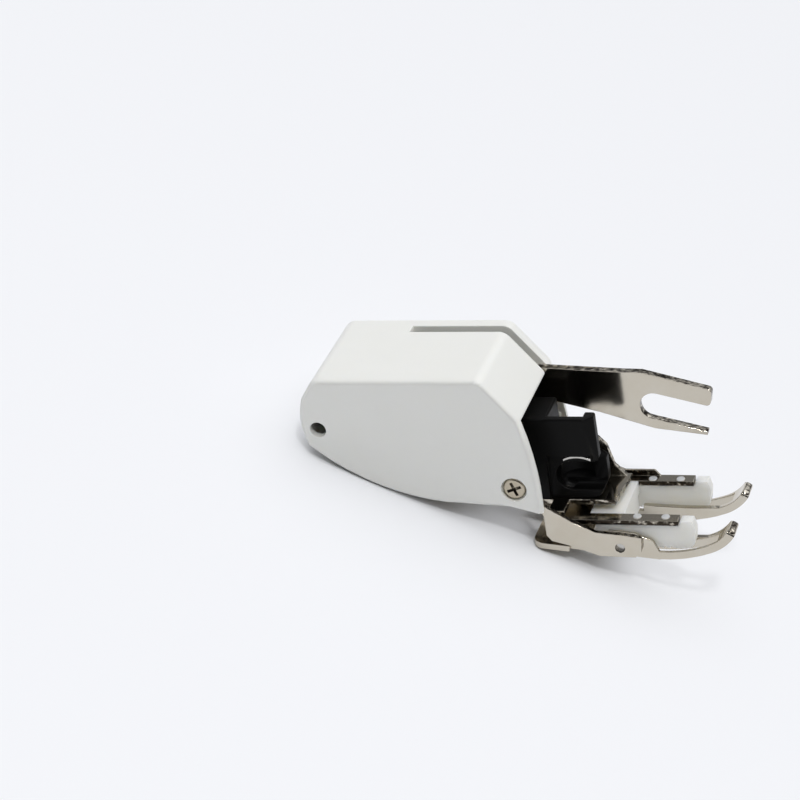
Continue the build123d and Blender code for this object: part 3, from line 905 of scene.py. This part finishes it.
@dataclass
class Springs:
    """The coil springs; the straight ones are of round wire."""

    bench: Bench
    wire_mm: float = 0.35
    wire_sides: int = 10
    steps_per_turn: int = 28
    turns: float = 3.5
    end_turns: float = 0.75

    def build(self) -> None:
        """Make each spring."""
        low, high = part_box("lift_springs")
        radius = (high.x - low.x) / 2
        coils = bmesh.new()
        for post in (low.y + radius, high.y - radius):
            start = Vector((low.x + radius, post, low.z))
            self.wind(coils, CoilAxis.Z, start, high.z - low.z, radius)
        piece = self.bench.dressed(coils, "lift_springs")
        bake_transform(piece)

        low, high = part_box("carriage_spring")
        radius = (high.z - low.z) / 2
        coils = bmesh.new()
        start = Vector((low.x, (low.y + high.y) / 2, (low.z + high.z) / 2))
        self.wind(coils, CoilAxis.X, start, high.x - low.x, radius)
        piece = self.bench.finished(coils, "carriage_spring")
        stroke = next(joint for joint in frame["joints"] if joint["name"] == "feed_stroke")
        kept = 1 + min(stroke["range_m"]) / (high.x - low.x)
        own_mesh(piece)

        low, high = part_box("lever_spring")
        piece = self.bench.dressed(self.bench.merged("lever_spring"), "lever_spring")
        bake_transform(piece)

    def wind(
        self,
        coils: bmesh.types.BMesh,
        axis: CoilAxis,
        start: Vector,
        length: float,
        outer_radius: float,
    ) -> None:
        """Wind one spring, whose turns lie close at each end.

        Args:
            coils: The bmesh that takes the spring.
            axis: The row axis of the coil.
            start: The centre of the coil's first end face.
            length: The coil's length along its axis.
            outer_radius: The coil's outer radius.
        """
        wire = self.wire_mm * MM
        along = Vector([float(place == axis.value) for place in range(3)])
        across = Vector([float(place == (axis.value + 1) % 3) for place in range(3)])
        closed_rise = self.end_turns * wire
        open_rise = length - wire - 2 * closed_rise
        place = start + along * wire / 2 + across * (outer_radius - wire / 2)
        facing = along.cross(across)
        turned = Matrix((across, along, facing)).transposed().to_4x4()
        ring = bmesh.ops.create_circle(
            coils,
            segments=self.wire_sides,
            radius=wire / 2,
            cap_ends=True,
            matrix=Matrix.Translation(place) @ turned,
        )
        faces = {face for vert in ring["verts"] for face in vert.link_faces}
        bends = {bend for vert in ring["verts"] for bend in vert.link_edges}
        front = [*ring["verts"], *bends, *faces]
        for part_turns, rise in (
            (self.end_turns, closed_rise),
            (self.turns - 2 * self.end_turns, open_rise),
            (self.end_turns, closed_rise),
        ):
            steps = round(part_turns * self.steps_per_turn)
            swept = bmesh.ops.spin(
                coils,
                geom=front,
                cent=start,
                axis=along,
                dvec=along * rise / steps,
                angle=math.tau * part_turns,
                steps=steps,
                use_duplicate=False,
            )
            front = swept["geom_last"]
        bmesh.ops.recalc_face_normals(coils, faces=coils.faces)


@dataclass
class Studio:
    """A pale table that the foot lies on, soft light from above and the photograph's camera."""

    focal_px: float = 2906.82
    camera_mm: tuple[float, float, float] = (131.99, -413.44, 243.31)
    camera_right: tuple[float, float, float] = (0.9462, 0.2850, -0.1534)
    camera_down: tuple[float, float, float] = (0.0047, -0.4861, -0.8739)
    table_lean_degrees: float = 26.6
    table_radius_mm: float = 900.0
    table_sides: int = 96
    table_colour: str = "#F4F5F8"
    table_roughness: float = 0.85
    table_shine: float = 0.1
    table_glow: float = 0.55
    table_reach_mm: float = 12.0
    table_clear: tuple[float, float] = (0.25, 0.8)
    table_samples: int = 8
    sky_colour: str = "#F6F7FA"
    sky_span: tuple[float, float] = (0.6, 0.92)
    sky_tilt_degrees: float = 13.0
    sky_top: float = 1.92
    sky_front: float = 0.02
    sky_back: float = 0.2
    back_span: tuple[float, float] = (-0.2, 0.7)
    past_edge_span: tuple[float, float] = (0.2, 0.34)
    past_edge_level: float = 0.96
    lamp_height_mm: float = 1200.0
    lamp_back_mm: float = -650.0
    lamp_side_mm: float = -60.0
    lamp_size_mm: float = 170.0
    lamp_watts: float = 5.0
    clip_m: tuple[float, float] = (0.01, 10.0)

    def build(self) -> None:
        """Set the table, the room, the lamp and the camera."""
        self.set_table()
        self.set_room()
        self.set_lamp()
        self.set_camera()
        bpy.context.scene.view_settings.view_transform = "Standard"

    def up(self) -> Vector:
        """Give the table's upward direction in the row frame."""
        lean = math.radians(self.table_lean_degrees)
        return Vector((math.sin(lean), 0, math.cos(lean)))

    def set_table(self) -> None:
        """Lay the table against the lowest points of the foot."""
        up = self.up()
        meshes = [node.data for node in frame["nodes"].values()]
        lowest = min(vert.co.dot(up) for mesh in meshes for vert in mesh.vertices)
        turn = Vector((0, 0, 1)).rotation_difference(up).to_matrix().to_4x4()
        shape = bmesh.new()
        bmesh.ops.create_circle(
            shape,
            cap_ends=True,
            segments=self.table_sides,
            radius=self.table_radius_mm * MM,
            matrix=Matrix.Translation(up * lowest) @ turn,
        )
        mesh = bpy.data.meshes.new("table")
        shape.to_mesh(mesh)
        shape.free()
        table = bpy.data.objects.new("table", mesh)
        bpy.context.scene.collection.objects.link(table)
        mesh.materials.append(self.table_material())

    def table_material(self) -> bpy.types.Material:
        """Give the table a pale top that is not there from below.

        Where the table is seen, or shows in metal, part of its brightness is its own. That keeps
        the wide shadow on it light, as in the photograph, and is left out where the foot stands
        close over it.

        Returns:
            The material.
        """
        material, tree, shader = new_material("pale_table")
        shader.inputs["Base Color"].default_value = linear(self.table_colour)
        shader.inputs["Roughness"].default_value = self.table_roughness
        shader.inputs["Specular IOR Level"].default_value = self.table_shine
        clearance = add_node(
            tree,
            "ShaderNodeAmbientOcclusion",
            {"samples": self.table_samples},
            {"Distance": self.table_reach_mm * MM},
        )
        own = add_node(
            tree,
            "ShaderNodeMapRange",
            {"interpolation_type": "SMOOTHSTEP"},
            {
                "Value": clearance.outputs["AO"],
                "From Min": self.table_clear[0],
                "From Max": self.table_clear[1],
                "To Min": 0.0,
                "To Max": self.table_glow,
            },
        )
        share = add_node(
            tree,
            "ShaderNodeMath",
            {"operation": "MULTIPLY"},
            {0: self.seen(tree), 1: own.outputs["Result"]},
        )
        glow = add_node(
            tree,
            "ShaderNodeEmission",
            {},
            {"Color": linear(self.table_colour), "Strength": 1.0},
        )
        lit = add_node(
            tree,
            "ShaderNodeMixShader",
            {},
            {0: share.outputs["Value"], 1: shader.outputs["BSDF"], 2: glow.outputs["Emission"]},
        )
        under = add_node(tree, "ShaderNodeNewGeometry", {}, {})
        clear = add_node(tree, "ShaderNodeBsdfTransparent", {}, {})
        mixed = add_node(
            tree,
            "ShaderNodeMixShader",
            {},
            {0: under.outputs["Backfacing"], 1: lit.outputs["Shader"], 2: clear.outputs["BSDF"]},
        )
        output = next(node for node in tree.nodes if node.type == "OUTPUT_MATERIAL")
        tree.links.new(mixed.outputs["Shader"], output.inputs["Surface"])
        return material

    def seen(self, tree: bpy.types.NodeTree) -> bpy.types.NodeSocket:
        """Tell the rays that see a thing, straight or mirrored, from those that gather light.

        Args:
            tree: The node tree to work in.

        Returns:
            One for a seeing ray, or else nought.
        """
        path = add_node(tree, "ShaderNodeLightPath", {}, {})
        seen = path.outputs["Is Camera Ray"]
        for ray in ("Is Glossy Ray", "Is Transmission Ray"):
            seen = add_node(
                tree,
                "ShaderNodeMath",
                {"operation": "MAXIMUM"},
                {0: seen, 1: path.outputs[ray]},
            ).outputs["Value"]
        return seen

    def set_room(self) -> None:
        """Put the foot in a room that is bright above, dim low down and darkest round the camera.

        Past the table's edge the room is seen as pale as the table.
        """
        world = bpy.data.worlds.new("pale_room")
        bpy.context.scene.world = world
        world.use_nodes = True
        tree = world.node_tree
        tree.nodes.clear()
        outward = add_node(tree, "ShaderNodeTexCoord", {}, {}).outputs["Generated"]
        low = self.sky_share(tree, outward, AWAY, self.back_span, self.sky_front, self.sky_back)
        tilt = math.radians(self.sky_tilt_degrees)
        zenith = self.up() * math.cos(tilt) + AWAY * math.sin(tilt)
        level = self.sky_share(tree, outward, zenith, self.sky_span, low, self.sky_top)
        past_edge = add_node(
            tree,
            "ShaderNodeMath",
            {"operation": "MULTIPLY"},
            {
                0: self.seen(tree),
                1: self.sky_share(tree, outward, self.up(), self.past_edge_span, 1.0, 0.0),
            },
        )
        level = add_node(
            tree,
            "ShaderNodeMix",
            {"data_type": "FLOAT"},
            {"Factor": past_edge.outputs["Value"], "A": level, "B": self.past_edge_level},
        ).outputs["Result"]
        sky = add_node(
            tree,
            "ShaderNodeBackground",
            {},
            {"Color": linear(self.sky_colour), "Strength": level},
        )
        add_node(tree, "ShaderNodeOutputWorld", {}, {"Surface": sky.outputs["Background"]})

    def set_lamp(self) -> None:
        """Hang a lamp above the foot, on the camera's side of it."""
        lamp = bpy.data.lights.new("window", "AREA")
        lamp.shape = "DISK"
        lamp.size = self.lamp_size_mm * MM
        lamp.energy = self.lamp_watts
        holder = bpy.data.objects.new("window", lamp)
        bpy.context.scene.collection.objects.link(holder)
        up = self.up()
        along = AWAY.cross(up)
        place = up * self.lamp_height_mm + AWAY * self.lamp_back_mm + along * self.lamp_side_mm
        holder.location = place * MM
        holder.rotation_mode = "QUATERNION"
        holder.rotation_quaternion = (-place).to_track_quat("-Z", "Y")

    def sky_share(
        self,
        tree: bpy.types.NodeTree,
        outward: bpy.types.NodeSocket,
        towards: Vector,
        span: tuple[float, float],
        far: float | bpy.types.NodeSocket,
        near: float,
    ) -> bpy.types.NodeSocket:
        """Change the sky's level smoothly towards one direction.

        Args:
            tree: The world's node tree.
            outward: The direction that is looked in.
            towards: The direction of the change.
            span: Where the change starts and ends, as cosines of the angle to that direction.
            far: The level before the change.
            near: The level after it.

        Returns:
            The level.
        """
        cosine = add_node(
            tree,
            "ShaderNodeVectorMath",
            {"operation": "DOT_PRODUCT"},
            {0: outward, 1: towards},
        )
        level = add_node(
            tree,
            "ShaderNodeMapRange",
            {"interpolation_type": "SMOOTHSTEP"},
            {
                "Value": cosine.outputs["Value"],
                "From Min": span[0],
                "From Max": span[1],
                "To Min": far,
                "To Max": near,
            },
        )
        return level.outputs["Result"]

    def set_camera(self) -> None:
        """Stand the camera where the photograph was taken from."""
        lens = bpy.data.cameras.new("camera")
        lens.sensor_width = SENSOR_MM
        lens.lens = self.focal_px / IMAGE_SIDE * SENSOR_MM
        lens.clip_start, lens.clip_end = self.clip_m
        camera = bpy.data.objects.new("camera", lens)
        bpy.context.scene.collection.objects.link(camera)
        right = Vector(self.camera_right).normalized()
        back = right.cross(-Vector(self.camera_down)).normalized()
        upward = back.cross(right)
        turn = Matrix((right, upward, back)).transposed()
        camera.matrix_world = Matrix.Translation(Vector(self.camera_mm) * MM) @ turn.to_4x4()
        bpy.context.scene.camera = camera


def main() -> None:
    """Build the foot's sub-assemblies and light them."""
    logging.basicConfig(level=logging.INFO, format="%(name)s: %(message)s")
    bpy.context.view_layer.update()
    bench = Bench()
    for unit in (Hood, Chassis, Shank, Lever, FeedUnit, Sole, Springs):
        unit(bench).build()
    Studio().build()


if __name__ == "__main__":
    main()
